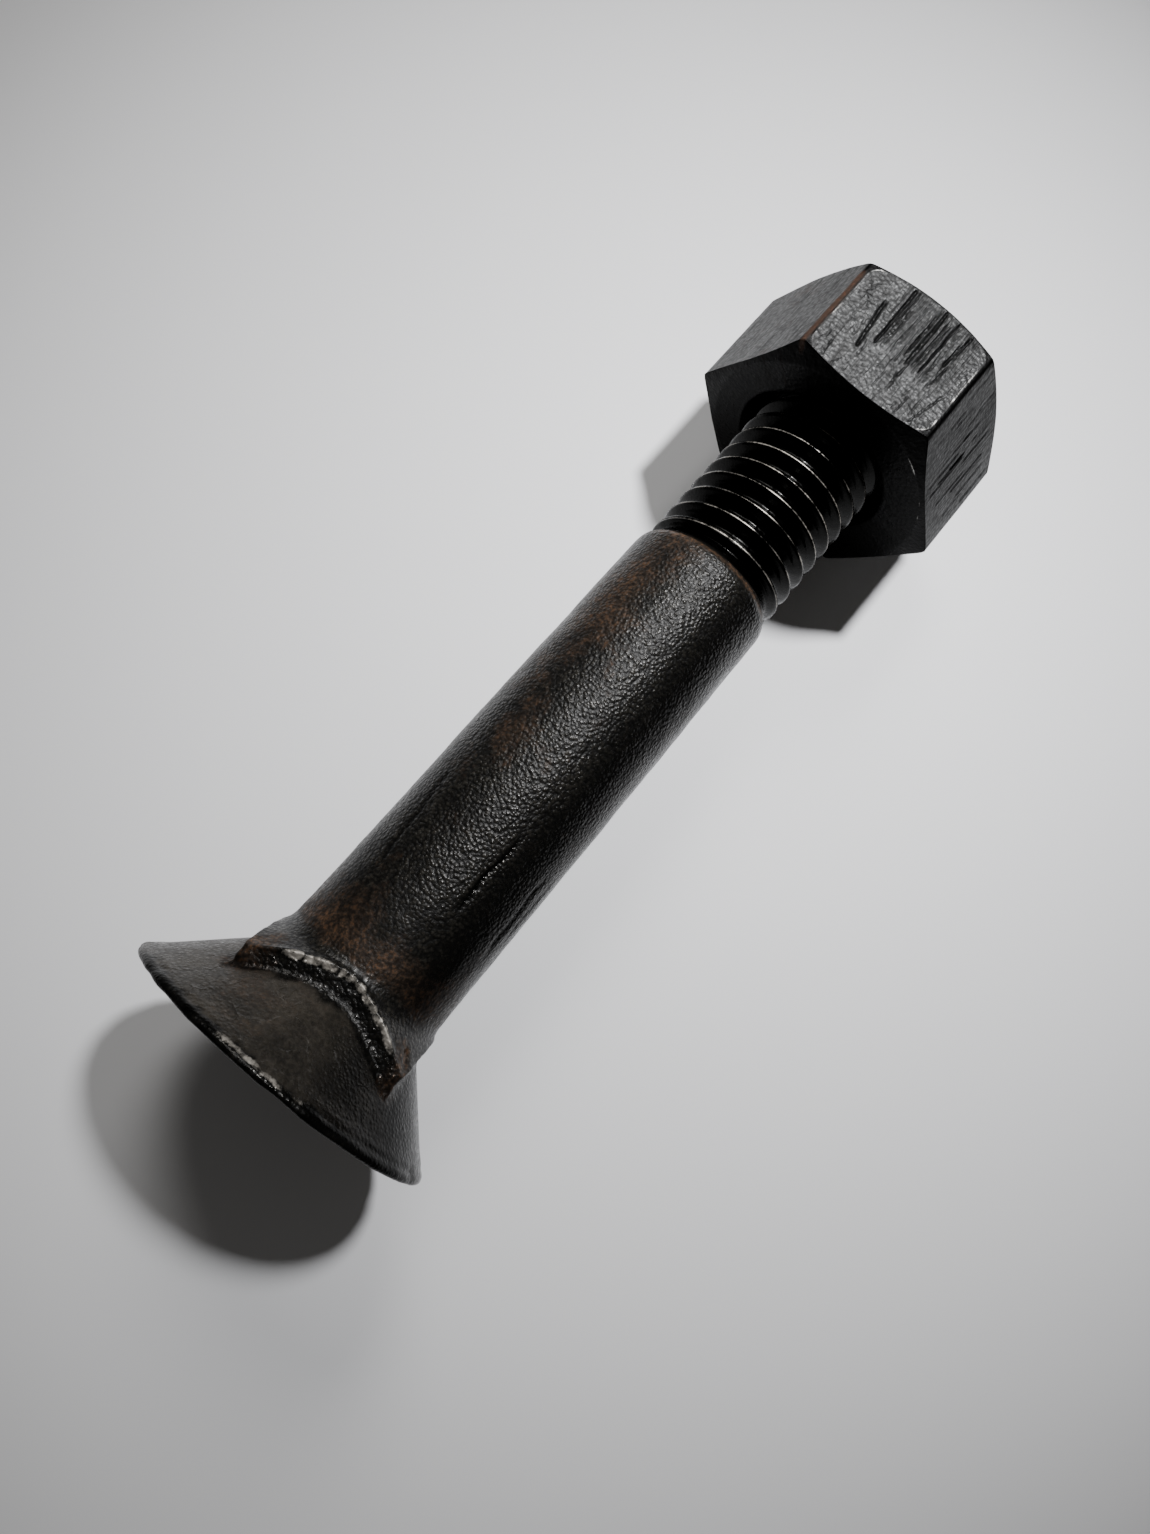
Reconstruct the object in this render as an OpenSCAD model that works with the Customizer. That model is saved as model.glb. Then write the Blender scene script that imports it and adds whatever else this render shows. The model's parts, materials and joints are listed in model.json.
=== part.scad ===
// Plow bolt with a round countersunk head, a square neck and a thick hex nut.
// Both pieces are modelled upright about Z, with the head's outer face at zero,
// and are then laid down the way the bolt comes to rest on a table.

/* [Length] */
// Overall length, from the head's outer face to the bolt's end
bolt_len = 101.6; // [85:0.1:160]
// Length of the thread, from its shoulder to the bolt's end
thread_len = 38.8; // [24:0.1:50]

/* [Head] */
// Diameter of the head at its rim
head_d = 32.8; // [30:0.1:40]
// Included angle of the head's seat
seat_angle = 90; // [80:1:96]
// Height of the upright land round the rim
rim_land = 1; // [0.8:0.05:2]
// Width of the step between the land and the seat
rim_step = 0.55; // [0.2:0.05:1]
// Radius on the edge of the outer face
rim_round = 0.4; // [0.2:0.05:0.75]
// Sideways shift of the rim from the bolt's axis
rim_shift = 0.4; // [-0.5:0.1:0.5]

/* [Square neck] */
// Width of the neck across its flats
neck_w = 17.7; // [17.6:0.1:20]
// Height of a flat, measured along the bolt
neck_flat_h = 2.1; // [1:0.1:4]
// Slope of the chamfer on top of the neck, from the bolt's axis
neck_slope = 45; // [40:1:60]
// Radius between that chamfer and the shank
neck_fillet = 3; // [1:0.1:5]
// Turn of the square about the bolt
neck_turn = 0; // [-45:0.5:45]

/* [Shank] */
// Diameter of the shank at the neck
shank_neck_d = 17.1; // [16.6:0.1:17.5]
// Diameter of the shank at the thread
shank_end_d = 16.4; // [15.8:0.1:17.5]
// Chamfer at the end of the shank
shoulder_chamfer = 0.6; // [0.2:0.1:0.8]

/* [Thread] */
// Outer diameter of the thread
thread_d = 15.56; // [14:0.02:15.7]
// Pitch of the thread
pitch = 2.309; // [2:0.001:3]
// Turn of the thread's start about the bolt
thread_turn = 49; // [-180:1:180]
// Chamfer on the bolt's end
end_chamfer = 1.4; // [0.4:0.1:2]

/* [Nut] */
// Width of the nut across its flats
nut_af = 27.2; // [24:0.1:32]
// Thickness of the nut
nut_h = 14.5; // [8:0.1:18]
// Distance from the head's outer face to the nut
nut_at = 82.5; // [67:0.1:84]
// Diameter of the round faces at the ends of the nut
nut_face_d = 26.2; // [22:0.1:26.4]
// Slope of the chamfers on the bearing side of the nut
nut_slope = 22; // [15:1:40]
// Slope of the chamfers on the outer side of the nut
nut_end_slope = 31; // [15:1:40]
// Sideways shift of the hexagon from the middle of the bore
nut_shift = -0.5; // [-0.8:0.1:0.8]
// Diameter of the countersink at each mouth of the nut
nut_mouth_d = 18.4; // [16.8:0.1:20]
// Gap all round between the nut's bore and the thread
nut_gap = 0.08; // [0.02:0.01:0.1]

/* [Hidden] */

bore_fn = 96;                                // fineness of round faces
arc_steps = 6;                               // points on a small round edge
head_r = head_d / 2;
face_r = head_r - rim_round;                 // flat part of the outer face
land_lean = 0.1;                             // the land narrows by this towards the seat
seat_tan = tan(seat_angle / 2);
seat_r = head_r - land_lean - rim_step;      // where the seat starts
neck_r = shank_neck_d / 2;
end_r = shank_end_d / 2;
flat_r = neck_w / 2;
seat_end = rim_land + (seat_r - neck_r) / seat_tan;
flat_low = rim_land + (seat_r - flat_r) / seat_tan;   // middle of a flat, at the seat
flat_top = flat_low + neck_flat_h;
neck_tan = tan(neck_slope);
fillet_s = flat_top + (flat_r - neck_r) / neck_tan + neck_fillet * tan(neck_slope / 2);
shoulder = bolt_len - thread_len;

// 60 degree thread with a crest an eighth and a root a quarter of the pitch wide
thread_r = thread_d / 2;
thread_depth = 0.54127 * pitch;
root_r = thread_r - thread_depth;
crest_w = pitch / 8;
flank_w = pitch * 5 / 16;
root_w = pitch / 4;
thread_sides = 24;                           // straight steps in one turn
ridge = [[0, thread_r], [crest_w, thread_r], [crest_w + flank_w, root_r],
         [crest_w + flank_w + root_w, root_r]];
runout = 1.3 * pitch;                        // the first grooves grow over this length
buried = 1.5 * pitch;                        // the thread starts inside the shank

nut_r = nut_af / 2;
nut_tan = tan(nut_slope);
nut_end_tan = tan(nut_end_slope);
nut_corner_r = nut_r / cos(30);
nut_bore_r = thread_r + nut_gap;
nut_flat_end = nut_h - (nut_r - nut_face_d / 2) * nut_end_tan;  // end of a flat, at its middle

// The bolt lies on the head's rim and on the outer end of one flat of the nut
rest_tilt = atan((head_r - nut_r) / (nut_at + nut_flat_end - rim_round));
rest_z = rim_round * sin(rest_tilt) + head_r * cos(rest_tilt);
rest_low_x = -face_r * sin(rest_tilt);
rest_high_x = bolt_len * cos(rest_tilt) + (thread_r - end_chamfer) * sin(rest_tilt);
rest_x = -(rest_low_x + rest_high_x) / 2;

module lying() {
    translate([rest_x, 0, rest_z]) rotate([0, 90 + rest_tilt, 0]) children();
}

function arc(centre, radius, from, to) =
    [for (i = [0:arc_steps]) let (a = from + (to - from) * i / arc_steps)
        centre + radius * [cos(a), sin(a)]];

// The forged rim sits a little to one side, so the seat runs back to the shank at a slant
module head() {
    translate([0, rim_shift, 0])
        rotate_extrude($fn = bore_fn)
            polygon(concat(
                [[0, 0]],
                arc([face_r, rim_round], rim_round, -90, 0),
                [[head_r - land_lean, rim_land], [0, rim_land]]));
    hull() {
        translate([0, rim_shift, rim_land / 2])
            cylinder(r = seat_r, h = rim_land / 2, $fn = bore_fn);
        translate([0, 0, rim_land])
            cylinder(r = neck_r, h = seat_end - rim_land, $fn = bore_fn);
    }
}

module shank() {
    rotate_extrude($fn = bore_fn)
        polygon([[0, rim_land],
                 [neck_r, rim_land],
                 [neck_r, seat_end],
                 [end_r, shoulder - shoulder_chamfer],
                 [end_r - shoulder_chamfer, shoulder],
                 [root_r - crest_w, shoulder + runout],
                 [0, shoulder + runout]]);
}

// The square is cut by a cone above, and sinks into the head's seat below
module square_neck() {
    cone_r = flat_r + (flat_top - rim_land) * neck_tan;
    intersection() {
        rotate([0, 0, neck_turn])
            translate([-flat_r, -flat_r, rim_land])
                cube([neck_w, neck_w, fillet_s]);
        rotate_extrude($fn = bore_fn)
            polygon(concat(
                [[0, rim_land], [cone_r, rim_land]],
                arc([neck_r + neck_fillet, fillet_s], neck_fillet, 180 + neck_slope, 180),
                [[0, fillet_s]]));
    }
}

// A rod whose outer surface is one helical ridge; both ends run past what is kept
module ridged_rod(length) {
    turns = ceil(length / pitch) + 1;
    rows = 4 * turns;
    function spot(i, m) =
        let (a = 360 * i / thread_sides, p = ridge[m % 4])
        [p[1] * cos(a), p[1] * sin(a), pitch * (i / thread_sides + floor(m / 4)) + p[0]];
    stride = rows + 1;
    points = concat(
        [for (i = [0:thread_sides - 1], m = [0:rows]) spot(i, m)],
        [for (m = [rows + 1:rows + 4]) spot(0, m)],
        [[0, 0, 0], [0, 0, pitch * (turns + 1)]]);
    first_extra = thread_sides * stride;
    low_hub = first_extra + 4;
    high_hub = first_extra + 5;
    function at(i, m) =
        i < thread_sides ? i * stride + m
        : m + 4 <= rows ? m + 4
        : first_extra + m + 4 - rows - 1;
    polyhedron(points, concat(
        [for (i = [0:thread_sides - 1], m = [0:rows - 1]) each
            [[at(i, m), at(i, m + 1), at(i + 1, m + 1)],
             [at(i, m), at(i + 1, m + 1), at(i + 1, m)]]],
        [for (i = [0:thread_sides - 1]) [low_hub, at(i, 0), at(i + 1, 0)]],
        [for (m = [0:3]) [low_hub, at(0, m + 1), at(0, m)]],
        [for (i = [0:thread_sides - 1]) [high_hub, at(i + 1, rows), at(i, rows)]],
        [for (m = [0:3]) [high_hub, at(thread_sides, rows - 4 + m), at(thread_sides, rows - 3 + m)]]
    ));
}

module thread() {
    start = shoulder - buried;
    intersection() {
        rotate([0, 0, thread_turn])
            translate([0, 0, start - pitch])
                ridged_rod(bolt_len - start + 2 * pitch);
        rotate_extrude($fn = bore_fn)
            polygon([[0, start],
                     [thread_r + pitch, start],
                     [thread_r + pitch, bolt_len - end_chamfer - pitch],
                     [thread_r - end_chamfer, bolt_len],
                     [0, bolt_len]]);
    }
}

module bolt() {
    color([0.13, 0.12, 0.12]) lying() {
        head();
        shank();
        square_neck();
        thread();
    }
}

// Hexagon with both ends chamfered; the chamfer cones run past the corners
module hex_body() {
    past_r = nut_corner_r + 1;
    past_face = past_r - nut_face_d / 2;
    translate([0, nut_shift, 0]) intersection() {
        rotate([0, 0, 30]) cylinder(r = nut_corner_r, h = nut_h, $fn = 6);
        rotate_extrude($fn = bore_fn)
            polygon([[0, 0],
                     [nut_face_d / 2, 0],
                     [past_r, past_face * nut_tan],
                     [past_r, nut_h - past_face * nut_end_tan],
                     [nut_face_d / 2, nut_h],
                     [0, nut_h]]);
    }
}

module countersink() {
    extra = 1;
    translate([0, 0, -extra])
        cylinder(r1 = nut_mouth_d / 2 + extra, r2 = nut_bore_r - extra,
                 h = nut_mouth_d / 2 - nut_bore_r + 2 * extra, $fn = bore_fn);
}

module nut() {
    color([0.2, 0.2, 0.21]) lying() translate([0, 0, nut_at])
        difference() {
            hex_body();
            translate([0, 0, -1]) cylinder(r = nut_bore_r, h = nut_h + 2, $fn = bore_fn);
            countersink();
            translate([0, 0, nut_h]) mirror([0, 0, 1]) countersink();
        }
}

bolt();
nut();
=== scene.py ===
import json
import math
import bpy
import numpy as np
from mathutils import Matrix, Vector


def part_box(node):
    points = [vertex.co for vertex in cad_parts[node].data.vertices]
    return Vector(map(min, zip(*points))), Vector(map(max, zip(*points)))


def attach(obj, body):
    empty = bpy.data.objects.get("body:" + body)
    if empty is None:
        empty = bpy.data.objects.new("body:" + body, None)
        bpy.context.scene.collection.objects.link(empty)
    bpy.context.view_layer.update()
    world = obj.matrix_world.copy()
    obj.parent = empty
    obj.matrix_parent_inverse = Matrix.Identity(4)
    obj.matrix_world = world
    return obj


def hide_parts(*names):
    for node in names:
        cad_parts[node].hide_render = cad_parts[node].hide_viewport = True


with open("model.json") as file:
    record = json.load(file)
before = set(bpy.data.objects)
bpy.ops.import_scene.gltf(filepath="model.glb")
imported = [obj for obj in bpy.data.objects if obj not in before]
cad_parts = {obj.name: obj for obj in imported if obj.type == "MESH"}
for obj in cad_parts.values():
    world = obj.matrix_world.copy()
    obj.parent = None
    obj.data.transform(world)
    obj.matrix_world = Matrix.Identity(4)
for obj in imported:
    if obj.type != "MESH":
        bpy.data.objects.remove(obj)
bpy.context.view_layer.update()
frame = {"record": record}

mm = 0.001
fullTurn = 2 * math.pi
mounts = {mount["name"]: mount for mount in frame["record"]["mounts"]}

# The bolt's own directions: along it from head to end, sideways, and down towards the table.
headCentre = Vector(mounts["head_face"]["pos_m"])
along = -Vector(mounts["head_face"]["axis"]).normalized()
sideways = Vector((0, 1, 0))
down = sideways.cross(along).normalized()
boltTilt = math.asin(-along.z)


# A skin is a list of spots, each with s along the bolt, r from its axis and turn round it,
# and the faces that join them. s and r are in mm, turn in radians from down towards sideways.
def newSkin():
    return {"s": [], "r": [], "turn": [], "faces": [], "count": 0}


def addSpots(skin, s, r, turn):
    s, r, turn = np.broadcast_arrays(s, r, turn)
    ids = np.arange(s.size).reshape(s.shape) + skin["count"]
    for key, values in (("s", s), ("r", r), ("turn", turn)):
        skin[key].append(np.array(values, float).ravel())
    skin["count"] += s.size
    return ids


def addGrid(skin, grid, flip=False):
    quads = np.stack([grid[:-1, :-1], grid[1:, :-1], grid[1:, 1:], grid[:-1, 1:]], -1)
    quads = quads.reshape(-1, 4)
    if flip:
        quads = quads[:, ::-1]
    skin["faces"] += [list(dict.fromkeys(quad)) for quad in quads.tolist()]


def addSleeve(skin, rings, columns):  # joins closed rings, or single points, in order
    grid = np.stack([np.broadcast_to(ring, columns) for ring in rings], axis=1)
    addGrid(skin, np.vstack([grid, grid[:1]]))


# One helical band, with a wedge of rows at each end that brings it back to a flat ring.
def addThread(skin, turns, startTurn, start, pitch, phases, radiusAt, flip=False):
    columns, rows = len(startTurn), len(phases)
    steps = np.append(phases, 1.0)
    last = rows * turns
    share = (startTurn - startTurn[0]) / fullTurn

    def height(column, row):
        return start + pitch * (share[column] + row // rows + steps[row % rows])

    def place(s, column):
        turn = startTurn[column]
        return addSpots(skin, s, radiusAt(s, turn), turn)

    column, row = np.meshgrid(np.arange(columns), np.arange(last + 1), indexing="ij")
    ids = np.empty((columns + 1, last + 1), int)
    ids[:columns] = place(height(column, row), column)
    extraRow = np.arange(last + 1, last + rows + 1)
    seam = np.concatenate([ids[0], place(height(0 * extraRow, extraRow), 0 * extraRow)])
    ids[columns] = seam[rows:rows + last + 1]
    middle = np.arange(1, columns)[:, None]

    low = np.empty((columns + 1, rows + 1), int)
    low[0], low[columns] = seam[0], seam[:rows + 1]
    low[1:columns, rows] = ids[1:columns, 0]
    low[1:columns, :rows] = place(start + pitch * share[middle] * steps[:rows],
                                  middle + np.zeros(rows, int))
    high = np.empty((columns + 1, rows + 1), int)
    high[0], high[columns] = seam[last:last + rows + 1], seam[last + rows]
    high[1:columns, 0] = ids[1:columns, last]
    top = height(middle, last + 0 * middle) + pitch * (1 - share[middle]) * steps[1:]
    high[1:columns, 1:] = place(top, middle + np.zeros(rows, int))

    for grid in (low, ids, high):
        addGrid(skin, grid, flip)
    return low[:columns, 0], high[:columns, rows]


def smoothStep(low, high, x):
    t = np.clip((x - low) / (high - low), 0, 1)
    return t * t * (3 - 2 * t)


def between(x, low, rise, fall, high):  # zero outside low and high, one from rise to fall
    return smoothStep(low, rise, x) * (1 - smoothStep(fall, high, x))


def bump(x, middle, width):
    return np.exp(-((x - middle) / width) ** 2)


def angleFrom(turn, degrees):  # difference in degrees, from -180 to 180
    return (np.degrees(turn) - degrees + 180) % 360 - 180


# Smooth noise from -1 to 1 that closes round the bolt, with cells of about that size.
def surfaceNoise(s, turn, cell, radius, seed):
    draw = np.random.default_rng(seed)
    around = max(3, round(fullTurn * radius / cell))
    up = int(130 / cell) + 4
    grid = draw.uniform(-1, 1, (up, around))
    u, v = turn / fullTurn * around, (s + 5) / cell
    i, j = np.floor(u).astype(int), np.clip(np.floor(v).astype(int), 0, up - 2)
    partU, partV = u - i, v - j
    partU = partU * partU * (3 - 2 * partU)
    partV = np.clip(partV * partV * (3 - 2 * partV), 0, 1)
    a, b = i % around, (i + 1) % around
    return ((grid[j, a] * (1 - partU) + grid[j, b] * partU) * (1 - partV)
            + (grid[j + 1, a] * (1 - partU) + grid[j + 1, b] * partU) * partV)


def ringNoise(turn, cell, radius, seed, s=0):  # the same all along the bolt
    return surfaceNoise(0 * turn + s, turn, cell, radius, seed)


def faceNoise(r, turn, cell, seed):  # the same over a flat round face
    x, y = r * np.cos(turn), r * np.sin(turn)
    return surfaceNoise(x + 20, (y + 20) / 10, cell, 10, seed)


def makePiece(name, node, body, built, material):
    skin, pushOut, masks, sideShift = built
    s, r, turn = (np.concatenate(skin[key]) for key in ("s", "r", "turn"))
    shift = sideShift(s, r, turn)
    points = np.stack([s, r * np.cos(turn), r * np.sin(turn) + shift], -1)  # along, down, sideways
    corners = np.array([face + face[-1:] * (4 - len(face)) for face in skin["faces"]])
    p = points[corners]
    faceNormals = np.cross(p[:, 2] - p[:, 0], p[:, 3] - p[:, 1])
    normals = np.stack([sum(np.bincount(corners[:, c], faceNormals[:, axis], len(points))
                            for c in range(4)) for axis in range(3)], -1)
    normals /= np.linalg.norm(normals, axis=1)[:, None] + 1e-12
    points = points + normals * pushOut(s, r, turn)[:, None]

    axes = np.array([along, down, sideways])
    low, high = (np.array(corner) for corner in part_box(node))
    spots = np.clip(points @ axes * mm + np.array(headCentre), low, high)
    mesh = bpy.data.meshes.new(name)
    mesh.from_pydata(spots.tolist(), [], skin["faces"])
    mesh.shade_smooth()
    for key, values in masks(s, r, turn).items():
        layer = mesh.attributes.new(key, "FLOAT", "POINT")
        layer.data.foreach_set("value", np.clip(values, 0, 1).astype(np.float32))
    mesh.materials.append(material)
    piece = bpy.data.objects.new(name, mesh)
    bpy.context.scene.collection.objects.link(piece)
    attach(piece, body)
    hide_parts(node)
    print(name, "has", len(spots), "points and", len(skin["faces"]), "faces")
    return piece


def addNode(tree, kind, inputs=None, **settings):
    node = tree.nodes.new(kind)
    for key, value in settings.items():
        setattr(node, key, value)
    for key, value in (inputs or {}).items():
        if isinstance(value, bpy.types.NodeSocket):
            tree.links.new(value, node.inputs[key])
        else:
            node.inputs[key].default_value = value
    return node


def mathNode(tree, operation, a, b):
    return addNode(tree, "ShaderNodeMath", {0: a, 1: b}, operation=operation).outputs[0]


def addTo(tree, a, b):
    return mathNode(tree, "ADD", a, b)


def times(tree, a, b):
    return mathNode(tree, "MULTIPLY", a, b)


def vectorNode(tree, operation, vector, other):
    key = "Scale" if operation == "SCALE" else 1
    return addNode(tree, "ShaderNodeVectorMath", {0: vector, key: other},
                   operation=operation).outputs[0]


def mixColour(tree, factor, a, b, blend="MIX"):
    return addNode(tree, "ShaderNodeMix", {0: factor, 6: a, 7: b}, data_type="RGBA",
                   blend_type=blend).outputs[2]


def mixValue(tree, factor, a, b):
    return addNode(tree, "ShaderNodeMix", {0: factor, 2: a, 3: b}).outputs[0]


def remap(tree, value, fromLow, fromHigh, toLow, toHigh):
    return addNode(tree, "ShaderNodeMapRange",
                   {0: value, 1: fromLow, 2: fromHigh, 3: toLow, 4: toHigh}, clamp=True).outputs[0]


def newGroup(name, inputs, outputs):
    tree = bpy.data.node_groups.new(name, "ShaderNodeTree")
    kinds = {"value": "NodeSocketFloat", "colour": "NodeSocketColor", "vector": "NodeSocketVector"}
    for label, kind, start in inputs:
        socket = tree.interface.new_socket(name=label, in_out="INPUT", socket_type=kinds[kind])
        if start is not None:
            socket.default_value = start
    for label, kind in outputs:
        tree.interface.new_socket(name=label, in_out="OUTPUT", socket_type=kinds[kind])
    given = tree.nodes.new("NodeGroupInput").outputs
    return tree, given, tree.nodes.new("NodeGroupOutput").inputs


def useGroup(tree, group, inputs):
    return addNode(tree, "ShaderNodeGroup", inputs, node_tree=group).outputs


def noiseFor(tree, vector, scale, detail, rough, distort=0.0):
    return addNode(tree, "ShaderNodeTexNoise",
                   {"Vector": vector, "Scale": scale, "Detail": detail, "Roughness": rough,
                    "Distortion": distort}).outputs["Fac"]


# Pebbled skin of hot-formed steel: small hard grains with a broader unevenness under them.
def makeSteelGrain():
    tree, given, out = newGroup(
        "steelGrain",
        [("Vector", "vector", None), ("Grains per metre", "value", 2600.0),
         ("Broad amount", "value", 0.5)],
        [("Height", "value"), ("Tone", "value")])
    vector, scale = given["Vector"], given["Grains per metre"]
    cells = addNode(tree, "ShaderNodeTexVoronoi",
                    {"Vector": vector, "Scale": scale, "Smoothness": 0.25},
                    feature="SMOOTH_F1").outputs["Distance"]
    fine = noiseFor(tree, vector, times(tree, scale, 1.3), 2.0, 0.6)
    broad = noiseFor(tree, vector, times(tree, scale, 0.12), 3.0, 0.55)
    grains = mathNode(tree, "SUBTRACT", times(tree, fine, 0.8), cells)
    height = addTo(tree, grains, times(tree, broad, given["Broad amount"]))
    tree.links.new(height, out["Height"])
    tone = addTo(tree, times(tree, broad, 0.5), remap(tree, grains, -0.35, 0.35, 0.0, 0.5))
    tree.links.new(tone, out["Tone"])
    return tree


# Marks dragged along the bolt, by dies and by use.
def makeDragMarks():
    tree, given, out = newGroup(
        "dragMarks",
        [("Vector", "vector", None), ("Marks per metre", "value", 1500.0),
         ("Length ratio", "value", 0.06)],
        [("Height", "value")])
    stretch = addNode(tree, "ShaderNodeCombineXYZ", {0: given["Length ratio"], 1: 1.0, 2: 1.0})
    stretched = vectorNode(tree, "MULTIPLY", given["Vector"], stretch.outputs[0])
    lines = noiseFor(tree, stretched, given["Marks per metre"], 3.0, 0.65, 0.3)
    tree.links.new(lines, out["Height"])
    return tree


# Fine raised lines that branch and stop, where a hard skin has broken up.
def makeCrackleLines():
    tree, given, out = newGroup(
        "crackleLines",
        [("Vector", "vector", None), ("Cells per metre", "value", 340.0)],
        [("Height", "value")])
    vector = given["Vector"]
    sway = addNode(tree, "ShaderNodeTexNoise", {"Vector": vector, "Scale": 900.0, "Detail": 2.0})
    offset = vectorNode(tree, "SCALE", sway.outputs["Color"], 0.0012)
    swayed = vectorNode(tree, "ADD", vector, offset)
    stretched = vectorNode(tree, "MULTIPLY", swayed, (0.6, 1.0, 1.0))
    edge = addNode(tree, "ShaderNodeTexVoronoi",
                   {"Vector": stretched, "Scale": given["Cells per metre"]},
                   feature="DISTANCE_TO_EDGE").outputs["Distance"]
    broken = remap(tree, noiseFor(tree, vector, 500.0, 2.0, 0.5), 0.5, 0.62, 0.0, 1.0)
    tree.links.new(times(tree, remap(tree, edge, 0.0, 0.07, 1.0, 0.0), broken), out["Height"])
    return tree


# Rubbed bright metal, broken up so that it never ends in a clean line.
def makeWornEdge():
    tree, given, out = newGroup(
        "wornEdge",
        [("Vector", "vector", None), ("Wear", "value", 0.0), ("Break up", "value", 0.6),
         ("Spots per metre", "value", 1800.0)],
        [("Mask", "value")])
    spots = noiseFor(tree, given["Vector"], given["Spots per metre"], 4.0, 0.7)
    spread = times(tree, mathNode(tree, "SUBTRACT", spots, 0.5),
                   times(tree, given["Break up"], 3.0))
    level = addTo(tree, given["Wear"], times(tree, spread, given["Wear"]))
    tree.links.new(remap(tree, level, 0.3, 0.75, 0.0, 1.0), out["Mask"])
    return tree


# A thin film of brown rust, patchy and mixed with redder specks.
def makeRustFilm():
    tree, given, out = newGroup(
        "rustFilm",
        [("Vector", "vector", None), ("Rust", "value", 0.0), ("Metal colour", "colour", None),
         ("Brown", "colour", None), ("Orange", "colour", None)],
        [("Color", "colour"), ("Mask", "value")])
    patches = noiseFor(tree, given["Vector"], 420.0, 5.0, 0.65)
    specks = noiseFor(tree, given["Vector"], 2400.0, 3.0, 0.7)
    level = addTo(tree, given["Rust"],
                  times(tree, mathNode(tree, "SUBTRACT", patches, 0.5), 1.2))
    mask = times(tree, remap(tree, level, 0.25, 0.95, 0.0, 1.0),
                 remap(tree, given["Rust"], 0.0, 0.15, 0.0, 1.0))
    rustColour = mixColour(tree, remap(tree, specks, 0.52, 0.68, 0.0, 0.8),
                           given["Brown"], given["Orange"])
    tree.links.new(mixColour(tree, mask, given["Metal colour"], rustColour), out["Color"])
    tree.links.new(mask, out["Mask"])
    return tree


steelGrain, dragMarks, crackleLines = makeSteelGrain(), makeDragMarks(), makeCrackleLines()
wornEdge, rustFilm = makeWornEdge(), makeRustFilm()
print("shader groups made")


def startMaterial(name, maskNames):
    material = bpy.data.materials.new(name)
    material.use_nodes = True
    tree = material.node_tree
    place = addNode(tree, "ShaderNodeTexCoord").outputs["Object"]
    lined = addNode(tree, "ShaderNodeMapping",
                    {"Vector": place, "Rotation": (0, -boltTilt, 0)}).outputs[0]
    masks = [addNode(tree, "ShaderNodeAttribute", attribute_name=key).outputs["Fac"]
             for key in maskNames]
    return material, tree, lined, masks


# Bare metal over oil and painted shade over the rusted skin; an oiled or shaded place reflects as a
# dark metal does.
def finishSteel(tree, values, skinColour, bareMask, oil, rough, height):
    shader = tree.nodes["Principled BSDF"]
    oiledOrShaded = mixColour(tree, oil, skinColour, values["oil"])
    darkened = remap(tree, oil, 0.0, 1.0, values["metallic"], 1.0)
    metallic = mixValue(tree, bareMask, darkened, values["bareMetallic"])
    relief = addNode(tree, "ShaderNodeBump", {"Height": height, "Distance": values["grainDepth"],
                                              "Strength": 1.0})
    tree.links.new(mixColour(tree, bareMask, oiledOrShaded, values["bare"]), shader.inputs["Base Color"])
    tree.links.new(metallic, shader.inputs["Metallic"])
    tree.links.new(rough, shader.inputs["Roughness"])
    tree.links.new(relief.outputs["Normal"], shader.inputs["Normal"])
    shader.inputs["Specular IOR Level"].default_value = values["specular"]
    shader.inputs["Specular Tint"].default_value = values["edgeTint"]


cameraPlace = {                                   # mm from the head's face centre, degrees
    "along": 13.157, "side": -7.302, "above": 100.927,
    "lean": 14.336, "swing": 2.730, "turn": -50.144,
    "lens": 32.84, "sensorWidth": 36.0,
}


def addCamera(place):
    camera = bpy.data.objects.new("camera", bpy.data.cameras.new("camera"))
    camera.data.sensor_fit, camera.data.sensor_width = "HORIZONTAL", place["sensorWidth"]
    camera.data.lens = place["lens"]
    camera.data.clip_start, camera.data.clip_end = 0.005, 20
    lean, swing, turn = (math.radians(place[key]) for key in ("lean", "swing", "turn"))
    up = -down
    ahead = math.sin(lean) * along - math.cos(lean) * up
    level = math.cos(lean) * along + math.sin(lean) * up
    forward = math.cos(swing) * ahead + math.sin(swing) * sideways
    across = math.cos(swing) * sideways - math.sin(swing) * ahead
    right = math.cos(turn) * level + math.sin(turn) * across
    spot = headCentre + mm * (place["along"] * along + place["side"] * sideways
                              + place["above"] * up)
    aim = Matrix((right, right.cross(forward), -forward)).transposed().to_4x4()
    camera.matrix_world = Matrix.Translation(spot) @ aim
    bpy.context.scene.collection.objects.link(camera)
    bpy.context.scene.camera = camera
    return (Vector((right.x, right.y, 0)).normalized(),
            Vector((-right.y, right.x, 0)).normalized())


frameRight, frameUp = addCamera(cameraPlace)
print("camera placed")

studio = {
    "paper": (0.80, 0.805, 0.82, 1), "paperRough": 0.85, "paperSpecular": 0.25, "floorSize": 3.0,
    "ambient": 0.06, "ambientTint": (1.0, 0.96, 0.92, 1),
    # bearing in degrees from the frame's right, anticlockwise; aim in mm right and up in the frame
    "lights": {
        "mainLight": {"bearing": 46, "height": 61, "distance": 0.5, "size": 0.05, "watts": 0.13,
                      "spread": 29, "aim": (23, 22), "tint": (0.99, 0.99, 1.0)},
        "farLight": {"bearing": 85, "height": 44, "distance": 0.5, "size": 0.22, "watts": 0.078,
                     "spread": 38, "aim": (-20, 42), "tint": (1.0, 0.985, 0.96)},
    },
}


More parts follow.
